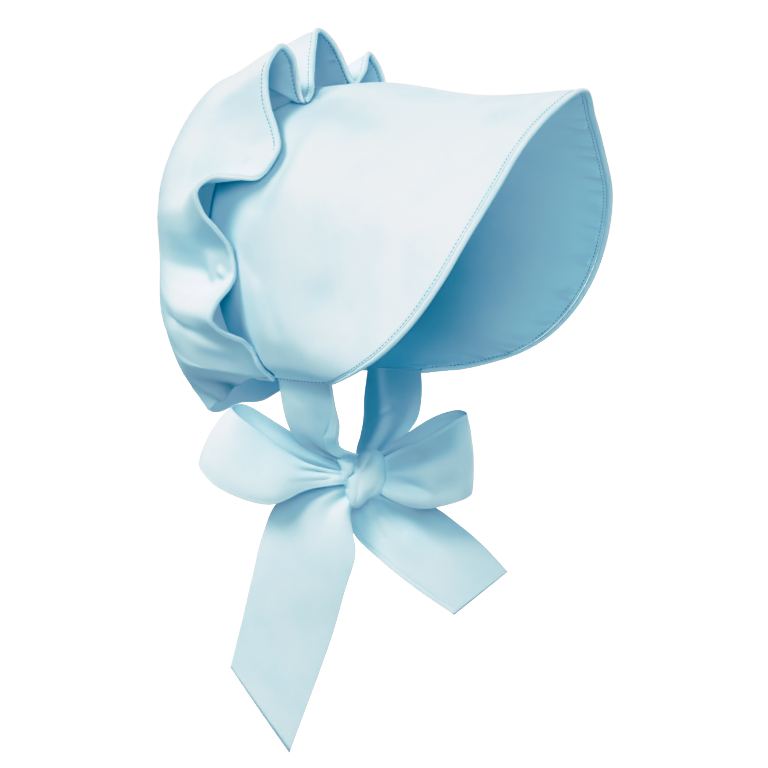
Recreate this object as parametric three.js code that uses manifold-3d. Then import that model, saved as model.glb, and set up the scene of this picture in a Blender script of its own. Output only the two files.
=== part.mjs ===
// A tied bonnet: a stiffened brim with a bound front edge, a gathered crown whose free edge stands up
// as a ruffle, and two ribbon ties knotted in a bow below the chin.
// Millimetres, +Z up. The bonnet faces -Y and the wearer's right is -X. The origin is where the top of
// the head meets the inside of the bonnet.

import * as THREE from 'three';
import Module from 'manifold-3d';
import { mergeVertices } from 'three/addons/utils/BufferGeometryUtils.js';

const wasm = await Module();
wasm.setup();

// Thickness of each cloth wall, and the gap that touching pieces keep
const BRIM_WALL = 2.4;
const CROWN_WALL = 1.2;
const RIBBON_WALL = 1.2;
const SEAT_GAP = 0.3;

// The bound front edge of the brim: its width along the cloth and its padded thickness
const BINDING_WIDTH = 4.4;
const BINDING_THICKNESS = 3.8;
const BINDING_GAP = 0.6;

// Steps along and across each cloth wall
const BRIM_STEPS = { around: 44, fromRearToFront: 7 };
const CROWN_STEPS = { ruffle: 88, nape: 24, fromEdgeToBack: 11 };
const RIBBON_STEPS = { along: 12, across: 6 };
const KNOT_STEPS = { around: 20, throughDepth: 7 };

// Brim, the wearer's right half: the rear and front ends of each section from the lower corner up to
// the ridge, how far the section swells out behind and how far it dips inwards in front
const BRIM_SECTIONS = [
  { rearX: -66, rearY: 11, rearZ: -216, frontX: -69, frontY: -38, frontZ: -217, swell: 0, dip: 0 },
  { rearX: -71, rearY: 23, rearZ: -209, frontX: -84, frontY: -49, frontZ: -216, swell: 0, dip: 1 },
  { rearX: -76, rearY: 34, rearZ: -202, frontX: -99, frontY: -61, frontZ: -215, swell: 1, dip: 2 },
  { rearX: -80, rearY: 42, rearZ: -187, frontX: -113, frontY: -77, frontZ: -211, swell: 1, dip: 3 },
  { rearX: -84, rearY: 47, rearZ: -171, frontX: -124, frontY: -96, frontZ: -204, swell: 2, dip: 4 },
  { rearX: -87, rearY: 51, rearZ: -152, frontX: -129, frontY: -118, frontZ: -191, swell: 2, dip: 5 },
  { rearX: -89, rearY: 55, rearZ: -129, frontX: -129, frontY: -140, frontZ: -171, swell: 2, dip: 5 },
  { rearX: -90, rearY: 56, rearZ: -103, frontX: -125, frontY: -160, frontZ: -144, swell: 2, dip: 5 },
  { rearX: -86, rearY: 53, rearZ: -74, frontX: -115, frontY: -176, frontZ: -112, swell: 2, dip: 5 },
  { rearX: -75, rearY: 48, rearZ: -45, frontX: -95, frontY: -189, frontZ: -78, swell: 3, dip: 4 },
  { rearX: -54, rearY: 36, rearZ: -24, frontX: -68, frontY: -195, frontZ: -48, swell: 3, dip: 4 },
  { rearX: -28, rearY: 26, rearZ: -10, frontX: -36, frontY: -202, frontZ: -23, swell: 4, dip: 4 },
  { rearX: 0, rearY: 18, rearZ: 2, frontX: 0, frontY: -211, frontZ: -5, swell: 4, dip: 5 },
];
const BRIM_SWELL_AT = 0.28;
const BRIM_DIP_AT = 0.64;

// Section of the binding: shares of its width from the brim to the edge, and of its thickness
const BINDING_PROFILE = [
  { along: 0, side: -0.36 },
  { along: 0.5, side: -0.5 },
  { along: 0.85, side: -0.36 },
  { along: 1, side: -0.12 },
  { along: 1, side: 0.12 },
  { along: 0.85, side: 0.36 },
  { along: 0.5, side: 0.5 },
  { along: 0, side: 0.36 },
];

// Free edge of the ruffle on the wearer's right, from the lower corner up: at a tack it lies on the
// brim, and between two tacks it stands out in a fold
const RUFFLE_SIDE = [
  { place: 'corner tack', x: -69, y: 9, z: -216 },
  { place: 'first fold', x: -84, y: 12, z: -200 },
  { place: 'first fold', x: -98, y: 19, z: -188 },
  { place: 'first fold', x: -114, y: 28, z: -180 },
  { place: 'first crest', x: -122, y: 32, z: -171 },
  { place: 'first fold', x: -118, y: 29, z: -158 },
  { place: 'first fold', x: -108, y: 25, z: -147 },
  { place: 'side tack', x: -98, y: 24, z: -133 },
  { place: 'second fold', x: -102, y: 27, z: -119 },
  { place: 'second fold', x: -112, y: 33, z: -105 },
  { place: 'second fold', x: -121, y: 40, z: -92 },
  { place: 'second crest', x: -126, y: 42, z: -76 },
  { place: 'second fold', x: -118, y: 34, z: -66 },
  { place: 'second fold', x: -107, y: 21, z: -66 },
  { place: 'second fold', x: -95, y: 6, z: -66 },
  { place: 'upper tack', x: -82, y: -3, z: -47 },
  { place: 'third fold', x: -76, y: 3, z: -31 },
  { place: 'third fold', x: -73, y: 11, z: -15 },
  { place: 'third fold', x: -71, y: 15, z: 1 },
  { place: 'third fold', x: -68, y: 15, z: 18 },
];

// Free edge of the ruffle over the top, from the wearer's right to the left
const RUFFLE_TOP = [
  { place: 'third crest', x: -56, y: 11, z: 32 },
  { place: 'third fold', x: -44, y: 9, z: 25 },
  { place: 'third fold', x: -37, y: 9, z: 8 },
  { place: 'third fold', x: -36, y: 7, z: -5 },
  { place: 'top right tack', x: -36, y: 2, z: -13 },
  { place: 'fourth fold', x: -26, y: 3, z: -3 },
  { place: 'fourth fold', x: -16, y: 9, z: 12 },
  { place: 'fourth fold', x: -9, y: 12, z: 32 },
  { place: 'fourth crest', x: 0, y: 14, z: 47 },
  { place: 'fourth fold', x: 10, y: 10, z: 42 },
  { place: 'fourth fold', x: 20, y: 6, z: 29 },
  { place: 'top left tack', x: 32, y: 1, z: 8 },
  { place: 'fifth fold', x: 40, y: -3, z: 17 },
  { place: 'fifth crest', x: 50, y: -2, z: 32 },
  { place: 'fifth fold', x: 60, y: -4, z: 24 },
  { place: 'fifth fold', x: 68, y: -6, z: 8 },
  { place: 'fifth fold', x: 73, y: -5, z: -14 },
];

// How many points of the wearer's right side the left side repeats as a mirror image
const RUFFLE_MIRRORED = 17;

// Nape edge of the crown, from the lower corner of the brim to the middle of the back
const NAPE_EDGE = [
  { x: -69, y: 22, z: -217 },
  { x: -63, y: 40, z: -218 },
  { x: -51, y: 60, z: -227 },
  { x: -38, y: 80, z: -238 },
  { x: -21, y: 103, z: -246 },
  { x: 0, y: 114, z: -250 },
];

// The crown's fullest line on the wearer's right: along the brim's rear edge, then above the nape edge
const CROWN_FULL_SIDE = [
  { x: -82, y: 68, z: -206 },
  { x: -92, y: 67, z: -192 },
  { x: -90, y: 57, z: -150 },
  { x: -94, y: 62, z: -100 },
  { x: -93, y: 60, z: -60 },
  { x: -80, y: 55, z: -30 },
  { x: -57, y: 49, z: 1 },
  { x: -30, y: 45, z: 18 },
  { x: 0, y: 43, z: 26 },
];
const CROWN_FULL_NAPE = [
  { x: -78, y: 73, z: -209 },
  { x: -66, y: 85, z: -214 },
  { x: -44, y: 101, z: -224 },
  { x: 0, y: 120, z: -238 },
];

// The middle of the crown's back, and the stations of a section between it (0) and the fullest line (1).
// The nearer the middle, the more the corners of the fullest line are rounded off.
const CROWN_BACK = { x: 0, y: 142, z: -100 };
const CROWN_BACK_STATIONS = [0.85, 0.65, 0.45, 0.22];
const CROWN_ROUNDING_REACH = 16;

// How far behind the free edge the ruffle's flutes fade out, and over how many columns to each side
// the line is averaged that they swing about
const FLUTE_REACH = { full: 8, none: 120 };
const FLUTE_MEAN_REACH = 7;
const NAPE_GATHERS = { count: 7, depth: 1.5, reach: 45 };

// How high the middle of the crown's wall lies above the middle of the brim's wall where it rests on it
const REST_HEIGHT = BRIM_WALL / 2 + CROWN_WALL / 2 + 3 * SEAT_GAP;

// Ribbon ties: the rear and front edge of each section from the brim's lower corner to the knot, and
// how far the middle of the ribbon stands out
const TIE_RIGHT = [
  { rearX: -66.5, rearY: 10, rearZ: -217.6, frontX: -69.5, frontY: -37, frontZ: -219.5, bulge: 0 },
  { rearX: -62, rearY: 10, rearZ: -233, frontX: -65, frontY: -38, frontZ: -234, bulge: 2 },
  { rearX: -54, rearY: 10, rearZ: -251, frontX: -57, frontY: -37, frontZ: -249, bulge: 5 },
  { rearX: -42, rearY: 8, rearZ: -266, frontX: -45, frontY: -29, frontZ: -263, bulge: 5 },
  { rearX: -25, rearY: -3, rearZ: -277, frontX: -27, frontY: -22, frontZ: -271, bulge: 2 },
  { rearX: -8, rearY: -20, rearZ: -284, frontX: -9, frontY: -27, frontZ: -278, bulge: 0 },
];
const TIE_LEFT = [
  { rearX: 66.5, rearY: 10, rearZ: -217.6, frontX: 69.5, frontY: -37, frontZ: -219.5, bulge: 0 },
  { rearX: 60, rearY: 10, rearZ: -238, frontX: 65, frontY: -40, frontZ: -235, bulge: -2 },
  { rearX: 50, rearY: 5, rearZ: -255, frontX: 55, frontY: -42, frontZ: -252, bulge: -5 },
  { rearX: 37, rearY: 0, rearZ: -267, frontX: 41, frontY: -40, frontZ: -264, bulge: -5 },
  { rearX: 19, rearY: -7, rearZ: -277, frontX: 23, frontY: -37, frontZ: -273, bulge: -2 },
  { rearX: -4, rearY: -23, rearZ: -291, frontX: -1, frontY: -32, frontZ: -284, bulge: 0 },
];

// The bow lies in an upright plane turned towards the wearer's right. In its own frame x runs along the
// bow, y away from the onlooker and z up, from the middle of the knot.
const BOW_PLACE = { x: -8, y: -31, z: -292.4 };
const BOW_TURN = THREE.MathUtils.degToRad(-60);

// Outline of the knot, and how far it stands out to each side of the bow's plane
const KNOT_OUTLINE = [
  { x: 17, z: -6 },
  { x: 16, z: 8 },
  { x: 8, z: 20 },
  { x: -6, z: 20 },
  { x: -14, z: 11 },
  { x: -17, z: 1 },
  { x: -15, z: -13 },
  { x: -10, z: -24 },
  { x: 1, z: -20 },
  { x: 11, z: -15 },
];
const KNOT_DEPTH = 14;
const KNOT_SIDE = { flatness: 0.7, least: 0.02 };

// Ribbon of the bow in its own frame: the two edges of each section, the bulge of the middle and the
// height of the small pleats, from the back of the knot round the loop to the front
const LOOP_RIGHT = [
  { topX: -8, topY: 4, topZ: 3, lowX: -8, lowY: 4, lowZ: -5, bulge: 0, pleat: 0 },
  { topX: -36, topY: 7, topZ: 19, lowX: -34, lowY: 5, lowZ: -4, bulge: 2, pleat: 1.5 },
  { topX: -68, topY: 10, topZ: 40, lowX: -66, lowY: 10, lowZ: -8, bulge: 4, pleat: 0.5 },
  { topX: -92, topY: 8, topZ: 54, lowX: -104, lowY: 11, lowZ: 2, bulge: 4, pleat: 0 },
  { topX: -101, topY: -1, topZ: 53, lowX: -126, lowY: -7, lowZ: 10, bulge: 4, pleat: 0 },
  { topX: -97, topY: -10, topZ: 47, lowX: -113, lowY: -24, lowZ: -5, bulge: 5, pleat: 0 },
  { topX: -78, topY: -14, topZ: 28, lowX: -72, lowY: -29, lowZ: -19, bulge: 6, pleat: 0 },
  { topX: -45, topY: -11, topZ: 5, lowX: -43, lowY: -17, lowZ: -8, bulge: 3, pleat: 0.5 },
  { topX: -8, topY: -4, topZ: 2, lowX: -8, lowY: -4, lowZ: -5, bulge: 0, pleat: 0 },
];
const LOOP_LEFT = [
  { topX: 8, topY: 4, topZ: 14, lowX: 8, lowY: 4, lowZ: 3, bulge: 0, pleat: 0 },
  { topX: 28, topY: 8, topZ: 28, lowX: 28, lowY: 7, lowZ: 2, bulge: -2, pleat: 1.5 },
  { topX: 54, topY: 10, topZ: 43, lowX: 54, lowY: 10, lowZ: -8, bulge: -4, pleat: 0.5 },
  { topX: 71, topY: 5, topZ: 50, lowX: 74, lowY: 7, lowZ: -13, bulge: -3, pleat: 0 },
  { topX: 77, topY: -4, topZ: 48, lowX: 81, lowY: -9, lowZ: -13, bulge: -3, pleat: 0 },
  { topX: 69, topY: -11, topZ: 44, lowX: 72, lowY: -22, lowZ: -17, bulge: -6, pleat: 1 },
  { topX: 44, topY: -12, topZ: 31, lowX: 44, lowY: -20, lowZ: -23, bulge: -7, pleat: 3 },
  { topX: 24, topY: -8, topZ: 20, lowX: 24, lowY: -12, lowZ: -19, bulge: -3, pleat: 2 },
  { topX: 8, topY: -3, topZ: 11, lowX: 8, lowY: -4, lowZ: -11, bulge: 0, pleat: 0 },
];

// Hanging ends of the ribbon in the bow's frame: the two edges of each section from the knot down
const TAIL_RIGHT = [
  { leftX: -9, leftY: 0, leftZ: -7, rightX: -6, rightY: 0, rightZ: -16, bulge: 0, pleat: 0 },
  { leftX: -33, leftY: 3, leftZ: -11, rightX: -11, rightY: -2, rightZ: -27, bulge: -2, pleat: 2 },
  { leftX: -66, leftY: 1, leftZ: -24, rightX: -9, rightY: -4, rightZ: -42, bulge: -4, pleat: 1 },
  { leftX: -78, leftY: -4, leftZ: -44, rightX: -7, rightY: -7, rightZ: -58, bulge: -4, pleat: 0 },
  { leftX: -86, leftY: -8, leftZ: -76, rightX: -15, rightY: -8, rightZ: -86, bulge: -3, pleat: 0 },
  { leftX: -94, leftY: -9, leftZ: -110, rightX: -25, rightY: -8, rightZ: -122, bulge: -2, pleat: 0 },
  { leftX: -103, leftY: -8, leftZ: -146, rightX: -58, rightY: -6, rightZ: -213, bulge: -2, pleat: 0 },
];
const TAIL_LEFT = [
  { leftX: -3, leftY: 3, leftZ: -16, rightX: 6, rightY: 3, rightZ: -12, bulge: 0, pleat: 0 },
  { leftX: -8, leftY: 6, leftZ: -30, rightX: 28, rightY: 8, rightZ: -18, bulge: -2, pleat: 2 },
  { leftX: -4, leftY: 6, leftZ: -47, rightX: 51, rightY: 9, rightZ: -24, bulge: -3, pleat: 2 },
  { leftX: 12, leftY: 3, leftZ: -65, rightX: 73, rightY: 6, rightZ: -39, bulge: -4, pleat: 1 },
  { leftX: 40, leftY: 0, leftZ: -88, rightX: 91, rightY: 0, rightZ: -54, bulge: -3, pleat: 0 },
  { leftX: 68, leftY: -2, leftZ: -107, rightX: 109, rightY: -5, rightZ: -73, bulge: -1, pleat: 0 },
];
const PLEATS_ACROSS = 2;

const COLORS = {
  panel: 0xe3eff3,
  crown: 0xdcecf1,
  binding: 0xe6f1f6,
  ribbon: 0xcfe4ea,
};
const CLOTH_ROUGHNESS = 0.7;

const vector = (place) => new THREE.Vector3(place.x, place.y, place.z);
const mirrored = (row) => ({ ...row, x: -row.x });
const curveThrough = (points) => new THREE.CatmullRomCurve3(points, false, 'centripetal');

// A closed body through rings of points that all hold the same even number of points. Where the rings
// don't close on themselves, the first and last are capped across.
function loft(rings, closed = false) {
  const count = rings[0].length;
  const triangles = [];
  const addQuad = (a, b, c, d) => triangles.push(a, b, c, a, c, d);
  const spans = closed ? rings.length : rings.length - 1;
  for (let i = 0; i < spans; i += 1) {
    const next = ((i + 1) % rings.length) * count;
    for (let k = 0; k < count; k += 1) {
      const beside = (k + 1) % count;
      addQuad(i * count + k, i * count + beside, next + beside, next + k);
    }
  }
  if (!closed) {
    const last = (rings.length - 1) * count;
    for (let k = 0; k < count / 2 - 1; k += 1) {
      const across = count - 1 - k;
      addQuad(k + 1, k, across, across - 1);
      addQuad(last + k, last + k + 1, last + across - 1, last + across);
    }
  }
  const geometry = new THREE.BufferGeometry().setFromPoints(rings.flat());
  geometry.setIndex(triangles);
  return facingOut(mergeVertices(geometry, 1e-3));
}

// Drops triangles that have collapsed and turns the rest outwards
function facingOut(geometry) {
  const position = geometry.attributes.position;
  const corner = [new THREE.Vector3(), new THREE.Vector3(), new THREE.Vector3()];
  const kept = [];
  let volume = 0;
  for (let i = 0; i < geometry.index.count; i += 3) {
    const [a, b, c] = [0, 1, 2].map((k) => geometry.index.getX(i + k));
    if (a !== b && b !== c && c !== a) {
      kept.push(a, b, c);
      [a, b, c].forEach((index, k) => corner[k].fromBufferAttribute(position, index));
      volume += corner[0].dot(corner[1].clone().cross(corner[2]));
    }
  }
  geometry.setIndex(volume < 0 ? kept.reverse() : kept);
  return geometry;
}

// Normal at each point of a sheet given as rows of points. A closed sheet joins its last row to its
// first, and where the rows meet in one point their last normals are shared.
function sheetNormals(rows, closed, meeting) {
  const last = rows.length - 1;
  const normals = rows.map((row, i) => {
    const before = closed ? rows[(i + last) % rows.length] : rows[Math.max(i - 1, 0)];
    const after = closed ? rows[(i + 1) % rows.length] : rows[Math.min(i + 1, last)];
    return row.map((point, j) => {
      const along = after[j].clone().sub(before[j]);
      const across = row[Math.min(j + 1, row.length - 1)].clone().sub(row[Math.max(j - 1, 0)]);
      return along.cross(across).normalize();
    });
  });
  if (meeting) {
    const shared = new THREE.Vector3();
    normals.forEach((row) => shared.add(row[row.length - 2]));
    shared.normalize();
    normals.forEach((row) => row[row.length - 1].copy(shared));
  }
  return normals;
}

// A cloth wall of even thickness about a sheet of points
function wall(rows, thickness, { closed = false, meeting = false } = {}) {
  const normals = sheetNormals(rows, closed, meeting);
  const rings = rows.map((row, i) => {
    const face = (side) => row.map((point, j) => point.clone().addScaledVector(normals[i][j], side));
    return [...face(thickness / 2), ...face(-thickness / 2).reverse()];
  });
  return loft(rings, closed);
}

function toSolid(geometry) {
  const bare = mergeVertices(geometry, 1e-4);
  return new wasm.Manifold(
    new wasm.Mesh({
      numProp: 3,
      vertProperties: new Float32Array(bare.attributes.position.array),
      triVerts: new Uint32Array(bare.index.array),
    })
  );
}

function toGeometry(solid) {
  const mesh = solid.getMesh();
  const geometry = new THREE.BufferGeometry();
  geometry.setAttribute('position', new THREE.BufferAttribute(mesh.vertProperties, mesh.numProp));
  geometry.setIndex(new THREE.BufferAttribute(mesh.triVerts, 1));
  return geometry;
}

const cutBy = (geometry, tool) => toGeometry(toSolid(geometry).subtract(toSolid(tool)));

// The brim's sections from the wearer's right lower corner over the ridge to the left one, evenly
// spaced round the brim. Each is a curve from the rear edge to the front edge.
function brimSections() {
  const leftHalf = BRIM_SECTIONS.slice(0, -1).reverse();
  const rows = [
    ...BRIM_SECTIONS.map((row) => ({ ...row, side: 1 })),
    ...leftHalf.map((row) => ({ ...row, side: -1 })),
  ];
  const rear = curveThrough(rows.map((r) => new THREE.Vector3(r.side * r.rearX, r.rearY, r.rearZ)));
  const front = curveThrough(rows.map((r) => new THREE.Vector3(r.side * r.frontX, r.frontY, r.frontZ)));
  const shape = curveThrough(rows.map((r, i) => new THREE.Vector3(i, r.swell, r.dip)));
  const sections = [];
  for (let i = 0; i <= BRIM_STEPS.around; i += 1) {
    const share = i / BRIM_STEPS.around;
    const from = rear.getPointAt(share);
    const to = front.getPointAt(share);
    const { y: swell, z: dip } = shape.getPointAt(share);
    const outwards = rear.getTangentAt(share).add(front.getTangentAt(share));
    outwards.cross(from.clone().sub(to)).normalize();
    const behind = from.clone().lerp(to, BRIM_SWELL_AT).addScaledVector(outwards, swell);
    const ahead = from.clone().lerp(to, BRIM_DIP_AT).addScaledVector(outwards, -dip);
    sections.push(curveThrough([from, behind, ahead, to]));
  }
  return sections;
}

// Brim wall, from its rear edge to where the binding begins
function brimGeometry(sections) {
  const rows = sections.map((section) => {
    const end = 1 - (BINDING_WIDTH + BINDING_GAP) / section.getLength();
    const row = [];
    for (let j = 0; j <= BRIM_STEPS.fromRearToFront; j += 1) {
      row.push(section.getPointAt((end * j) / BRIM_STEPS.fromRearToFront));
    }
    return row;
  });
  return wall(rows, BRIM_WALL);
}

// Binding: a padded band with rounded sides along the front edge
function bindingGeometry(sections) {
  const rows = sections.map((section) => {
    const length = section.getLength();
    return [BINDING_WIDTH, BINDING_WIDTH / 2, 0].map((back) => section.getPointAt(1 - back / length));
  });
  const normals = sheetNormals(rows, false, false);
  const rings = rows.map(([back, , edge], i) =>
    BINDING_PROFILE.map(({ along, side }) =>
      back.clone().lerp(edge, along).addScaledVector(normals[i][1], side * BINDING_THICKNESS)
    )
  );
  return loft(rings);
}

// Even points along a line of rows
function evenPoints(rows, count, offset = 0) {
  const curve = curveThrough(rows.map(vector));
  return Array.from({ length: count }, (_, i) => curve.getPointAt((i + offset) / count));
}

// The line through the weighted mean of each point and its neighbours to both sides. An open line's
// ends count as its neighbours beyond them.
function meanLine(points, reach, closed = false) {
  const last = points.length - 1;
  return points.map((point, i) => {
    const mean = new THREE.Vector3();
    let total = 0;
    for (let k = -reach; k <= reach; k += 1) {
      const index = closed ? (i + k + points.length) % points.length : Math.min(Math.max(i + k, 0), last);
      const weight = 1 + Math.cos((Math.PI * k) / (reach + 1));
      mean.addScaledVector(points[index], weight);
      total += weight;
    }
    return mean.multiplyScalar(1 / total);
  });
}

// The brim's outer face as triangles with their outward normals
function outerFaces(sections) {
  const rows = sections.map((section) => section.getSpacedPoints(BRIM_STEPS.fromRearToFront));
  const faces = [];
  for (let i = 0; i < rows.length - 1; i += 1) {
    for (let j = 0; j < BRIM_STEPS.fromRearToFront; j += 1) {
      const [a, b, c, d] = [rows[i][j], rows[i + 1][j], rows[i + 1][j + 1], rows[i][j + 1]];
      faces.push(new THREE.Triangle(a, c, b), new THREE.Triangle(a, d, c));
    }
  }
  return faces.map((triangle) => ({ triangle, normal: triangle.getNormal(new THREE.Vector3()) }));
}

// Lifts a point of the crown until it rests on the brim, where it would lie closer or below it
function restOn(faces, point) {
  const spot = new THREE.Vector3();
  let nearest = { distance: Infinity };
  faces.forEach(({ triangle, normal }) => {
    triangle.closestPointToPoint(point, spot);
    const distance = spot.distanceTo(point);
    if (distance < nearest.distance) {
      nearest = { distance, normal, height: point.clone().sub(spot).dot(normal) };
    }
  });
  const beside = Math.sqrt(Math.max(nearest.distance ** 2 - nearest.height ** 2, 0));
  if (beside < REST_HEIGHT && nearest.height < REST_HEIGHT) {
    point.addScaledVector(nearest.normal, REST_HEIGHT - nearest.height);
  }
}

// Crown: sections from the free edge over the fullest line to the middle of the back. The flutes of
// the ruffle fade out behind the fullest line, and the nape edge is drawn up in small gathers.
function crownGeometry(brimFaces) {
  const side = RUFFLE_SIDE;
  const otherSide = side.slice(0, RUFFLE_MIRRORED).map(mirrored).reverse();
  const ruffle = evenPoints([...side, ...RUFFLE_TOP, ...otherSide], CROWN_STEPS.ruffle, 0.5);
  const nape = evenPoints(
    [...NAPE_EDGE.map(mirrored), ...NAPE_EDGE.slice(0, -1).reverse()], CROWN_STEPS.nape, 0.5);
  const fullSide = [...CROWN_FULL_SIDE, ...CROWN_FULL_SIDE.slice(0, -1).reverse().map(mirrored)];
  const fullNape = [...CROWN_FULL_NAPE.map(mirrored), ...CROWN_FULL_NAPE.slice(0, -1).reverse()];
  const mean = [...meanLine(ruffle, FLUTE_MEAN_REACH), ...nape];
  const full = [
    ...evenPoints(fullSide, CROWN_STEPS.ruffle, 0.5),
    ...evenPoints(fullNape, CROWN_STEPS.nape, 0.5),
  ];
  const rounded = meanLine(full, CROWN_ROUNDING_REACH, true);
  const edge = [...ruffle, ...nape];
  const back = vector(CROWN_BACK);
  const rows = edge.map((edgePoint, i) => {
    const stations = CROWN_BACK_STATIONS.map((station) => {
      const angle = (station * Math.PI) / 2;
      const rim = rounded[i].clone().lerp(full[i], station);
      return new THREE.Vector3(
        THREE.MathUtils.lerp(back.x, rim.x, Math.sin(angle)),
        THREE.MathUtils.lerp(rim.y, back.y, Math.cos(angle)),
        THREE.MathUtils.lerp(back.z, rim.z, Math.sin(angle))
      );
    });
    const section = curveThrough([mean[i], full[i], ...stations, back]);
    const length = section.getLength();
    const flute = edgePoint.clone().sub(mean[i]);
    const gather = i < CROWN_STEPS.ruffle
      ? 0
      : Math.sin((2 * Math.PI * NAPE_GATHERS.count * (i - CROWN_STEPS.ruffle)) / CROWN_STEPS.nape);
    const outwards = full[i].clone().sub(back).setY(0).normalize();
    const row = [];
    for (let j = 0; j <= CROWN_STEPS.fromEdgeToBack; j += 1) {
      const share = j / CROWN_STEPS.fromEdgeToBack;
      const point = section.getPointAt(share);
      const fade = THREE.MathUtils.smoothstep(share * length, FLUTE_REACH.full, FLUTE_REACH.none);
      point.addScaledVector(flute, 1 - fade);
      const gatherFade = 1 - THREE.MathUtils.smoothstep(share * length, 0, NAPE_GATHERS.reach);
      point.addScaledVector(outwards, gather * NAPE_GATHERS.depth * gatherFade);
      restOn(brimFaces, point);
      row.push(point);
    }
    return row;
  });
  return wall(rows, CROWN_WALL, { closed: true, meeting: true });
}

// A ribbon through sections that each have two edges, a bulge across and small pleats
function ribbonGeometry(sections, steps) {
  const first = curveThrough(sections.map((s) => s.first));
  const second = curveThrough(sections.map((s) => s.second));
  const shape = curveThrough(sections.map((s, i) => new THREE.Vector3(i, s.bulge, s.pleat)));
  const rows = [];
  for (let i = 0; i <= steps; i += 1) {
    const share = i / steps;
    const near = first.getPoint(share);
    const far = second.getPoint(share);
    const along = first.getTangent(share).add(second.getTangent(share));
    const normal = far.clone().sub(near).cross(along).normalize();
    const { y: bulge, z: pleat } = shape.getPoint(share);
    const row = [];
    for (let j = 0; j <= RIBBON_STEPS.across; j += 1) {
      const across = j / RIBBON_STEPS.across;
      const rise = bulge * 4 * across * (1 - across)
        + pleat * Math.sin(2 * Math.PI * PLEATS_ACROSS * across);
      row.push(near.clone().lerp(far, across).addScaledVector(normal, rise));
    }
    rows.push(row);
  }
  return wall(rows, RIBBON_WALL);
}

const tieSections = (rows) => rows.map((r) => ({
  first: new THREE.Vector3(r.rearX, r.rearY, r.rearZ),
  second: new THREE.Vector3(r.frontX, r.frontY, r.frontZ),
  bulge: r.bulge,
  pleat: 0,
}));
const loopSections = (rows) => rows.map((r) => ({
  first: new THREE.Vector3(r.topX, r.topY, r.topZ),
  second: new THREE.Vector3(r.lowX, r.lowY, r.lowZ),
  bulge: r.bulge,
  pleat: r.pleat,
}));
const tailSections = (rows) => rows.map((r) => ({
  first: new THREE.Vector3(r.leftX, r.leftY, r.leftZ),
  second: new THREE.Vector3(r.rightX, r.rightY, r.rightZ),
  bulge: r.bulge,
  pleat: r.pleat,
}));

// Knot: a cushion with the outline's shape, grown on all sides by a margin
function knotGeometry(margin) {
  const outline = new THREE.CatmullRomCurve3(
    KNOT_OUTLINE.map((p) => new THREE.Vector3(p.x, 0, p.z)), true, 'centripetal');
  const depth = KNOT_DEPTH + margin;
  const rings = [];
  for (let i = 0; i <= KNOT_STEPS.throughDepth; i += 1) {
    const angle = Math.PI * (i / KNOT_STEPS.throughDepth - 0.5);
    const width = Math.max(Math.cos(angle), KNOT_SIDE.least) ** KNOT_SIDE.flatness;
    const ring = [];
    for (let k = 0; k < KNOT_STEPS.around; k += 1) {
      const point = outline.getPointAt(k / KNOT_STEPS.around);
      point.multiplyScalar(width * (1 + margin / point.length()));
      ring.push(point.setY(depth * Math.sin(angle)));
    }
    rings.push(ring);
  }
  return loft(rings);
}

function piece(name, geometry, color) {
  const material = new THREE.MeshStandardMaterial({ color, roughness: CLOTH_ROUGHNESS, metalness: 0 });
  const mesh = new THREE.Mesh(geometry, material);
  mesh.name = name;
  return mesh;
}

const bonnet = new THREE.Group();
const sections = brimSections();
bonnet.add(piece('brim', brimGeometry(sections), COLORS.panel));
bonnet.add(piece('brim_binding', bindingGeometry(sections), COLORS.binding));
bonnet.add(piece('crown', crownGeometry(outerFaces(sections)), COLORS.crown));

// The ribbons end in the knot, each seated on it with the gap of touching pieces
const bow = new THREE.Group();
bow.position.copy(vector(BOW_PLACE));
bow.rotation.z = BOW_TURN;
bow.updateMatrixWorld();
const knotRoom = knotGeometry(SEAT_GAP);
const knotRoomInPlace = knotRoom.clone().applyMatrix4(bow.matrixWorld);

const addTie = (name, rows) => {
  const ribbon = ribbonGeometry(tieSections(rows), RIBBON_STEPS.along);
  bonnet.add(piece(name, cutBy(ribbon, knotRoomInPlace), COLORS.ribbon));
};
addTie('tie_right', TIE_RIGHT);
addTie('tie_left', TIE_LEFT);

const addToBow = (name, rows, steps) => {
  bow.add(piece(name, cutBy(ribbonGeometry(rows, steps), knotRoom), COLORS.ribbon));
};
bow.add(piece('bow_knot', knotGeometry(0), COLORS.ribbon));
addToBow('bow_loop_right', loopSections(LOOP_RIGHT), RIBBON_STEPS.along * 2);
addToBow('bow_loop_left', loopSections(LOOP_LEFT), RIBBON_STEPS.along * 2);
addToBow('tail_right', tailSections(TAIL_RIGHT), RIBBON_STEPS.along);
addToBow('tail_left', tailSections(TAIL_LEFT), RIBBON_STEPS.along);
bonnet.add(bow);

export default bonnet;
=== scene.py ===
import math
import bmesh
import bpy
import numpy as np
from mathutils import Matrix, Vector
from mathutils.bvhtree import BVHTree


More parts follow.
